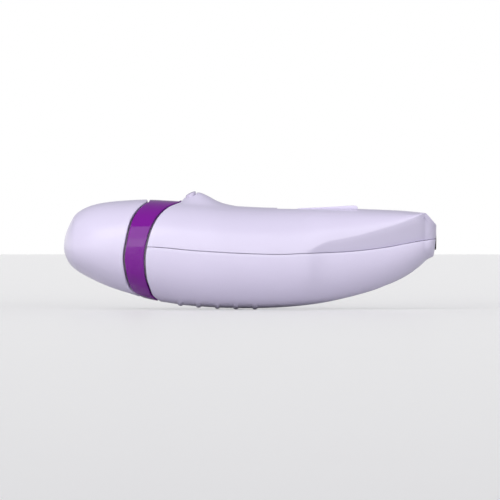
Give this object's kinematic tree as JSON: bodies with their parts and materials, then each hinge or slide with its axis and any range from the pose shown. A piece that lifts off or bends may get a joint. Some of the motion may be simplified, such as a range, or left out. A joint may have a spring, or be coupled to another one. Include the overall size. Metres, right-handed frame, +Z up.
{
  "type": "epilator",
  "caption": "Corded hand epilator lying on its ribbed belly: smooth head cap, glossy ring, two-shell grip with release button, thumb slide switch and tail inlet.",
  "frame": {"origin": "middle of the bounding box's base", "axes": "+X from the head towards the tail, +Z up from the ribbed belly towards the thumb switch"},
  "size_m": [0.1649, 0.056, 0.0525],
  "materials": {
    "pearl_shell": "satin pearl lilac",
    "purple_ring": "high gloss purple",
    "white_frame": "satin white moulding",
    "dark_plastic": "matt black moulding",
    "acetal": "natural acetal",
    "steel": "bright steel",
    "brass": "turned brass",
    "copper": "varnished copper winding",
    "board": "green solder mask",
    "red_wire": "smooth insulation",
    "black_wire": "smooth insulation"
  },
  "bodies": {
    "housing": {"top_shell": "pearl_shell", "bottom_shell": "pearl_shell", "neck_collar": "white_frame", "gear_chassis": "white_frame", "collar_screw_1": "steel", "collar_screw_2": "steel", "chassis_screw_1": "steel", "chassis_screw_2": "steel", "shell_screw": "steel", "motor_screw_1": "steel", "motor_screw_2": "steel", "motor_can": "steel", "motor_end_cap": "dark_plastic", "magnet_1": "dark_plastic", "magnet_2": "dark_plastic", "crown_axle": "steel", "drive_axle": "steel", "latch_spring": "steel", "switch_body": "dark_plastic", "circuit_board": "board", "capacitor": "dark_plastic", "socket_body": "dark_plastic", "socket_pin_1": "brass", "socket_pin_2": "brass", "motor_wire_black": "black_wire", "motor_wire_red": "red_wire", "socket_wire_black": "black_wire", "socket_wire_red": "red_wire"},
    "head": {"head_ring": "purple_ring", "head_frame": "white_frame", "head_shroud": "white_frame", "disc_axle": "steel", "axle_bush_left": "brass", "axle_bush_right": "brass"},
    "cap": {"head_cap": "pearl_shell"},
    "drum": {"disc_hub": "acetal", "drum_gear": "acetal", "tweezer_disc_01": "steel", "tweezer_disc_02": "steel", "tweezer_disc_03": "steel", "tweezer_disc_04": "steel", "tweezer_disc_05": "steel", "tweezer_disc_06": "steel", "tweezer_disc_07": "steel", "tweezer_disc_08": "steel", "tweezer_disc_09": "steel", "tweezer_disc_10": "steel", "tweezer_disc_11": "steel", "tweezer_disc_12": "steel"},
    "drive": {"drive_gear": "acetal"},
    "crown": {"crown_gear": "acetal", "crown_hub": "acetal", "spur_pinion": "acetal"},
    "motor_rotor": {"motor_shaft": "steel", "motor_pinion": "brass", "armature": "copper"},
    "release": {"release_button": "pearl_shell", "latch_hook": "dark_plastic"},
    "switch": {"switch_knob": "pearl_shell", "switch_carriage": "dark_plastic"}
  },
  "joints": [
    {"name": "head_slide", "type": "slide", "parent": "housing", "child": "head", "axis": [-1, 0, 0], "range_m": [0, 0.06]},
    {"name": "cap_slide", "type": "slide", "parent": "head", "child": "cap", "axis": [-1, 0, 0], "range_m": [0, 0.05]},
    {"name": "drum_spin", "type": "hinge", "parent": "head", "child": "drum", "pos_m": [-0.0648, 0, 0.029], "axis": [0, 1, 0], "continuous": true},
    {"name": "drive_spin", "type": "hinge", "parent": "housing", "child": "drive", "pos_m": [-0.04505, 0, 0.029], "axis": [0, 1, 0], "continuous": true},
    {"name": "crown_spin", "type": "hinge", "parent": "housing", "child": "crown", "pos_m": [-0.0274, 0, 0.029], "axis": [0, 1, 0], "continuous": true},
    {"name": "rotor_spin", "type": "hinge", "parent": "housing", "child": "motor_rotor", "pos_m": [0, 0, 0.029], "axis": [1, 0, 0], "continuous": true},
    {"name": "button_press", "type": "slide", "parent": "housing", "child": "release", "axis": [0, 0, -1], "range_m": [0, 0.0015], "stiffness_N_per_m": 400, "deforming": ["latch_spring"]},
    {"name": "switch_slide", "type": "slide", "parent": "housing", "child": "switch", "axis": [-1, 0, 0], "range_m": [0, 0.008]}
  ],
  "couplings": [
    {"joint": "drive_spin", "follows": "drum_spin", "ratio": -0.47368},
    {"joint": "crown_spin", "follows": "drum_spin", "ratio": 1.5},
    {"joint": "rotor_spin", "follows": "drum_spin", "ratio": 3.6}
  ]
}
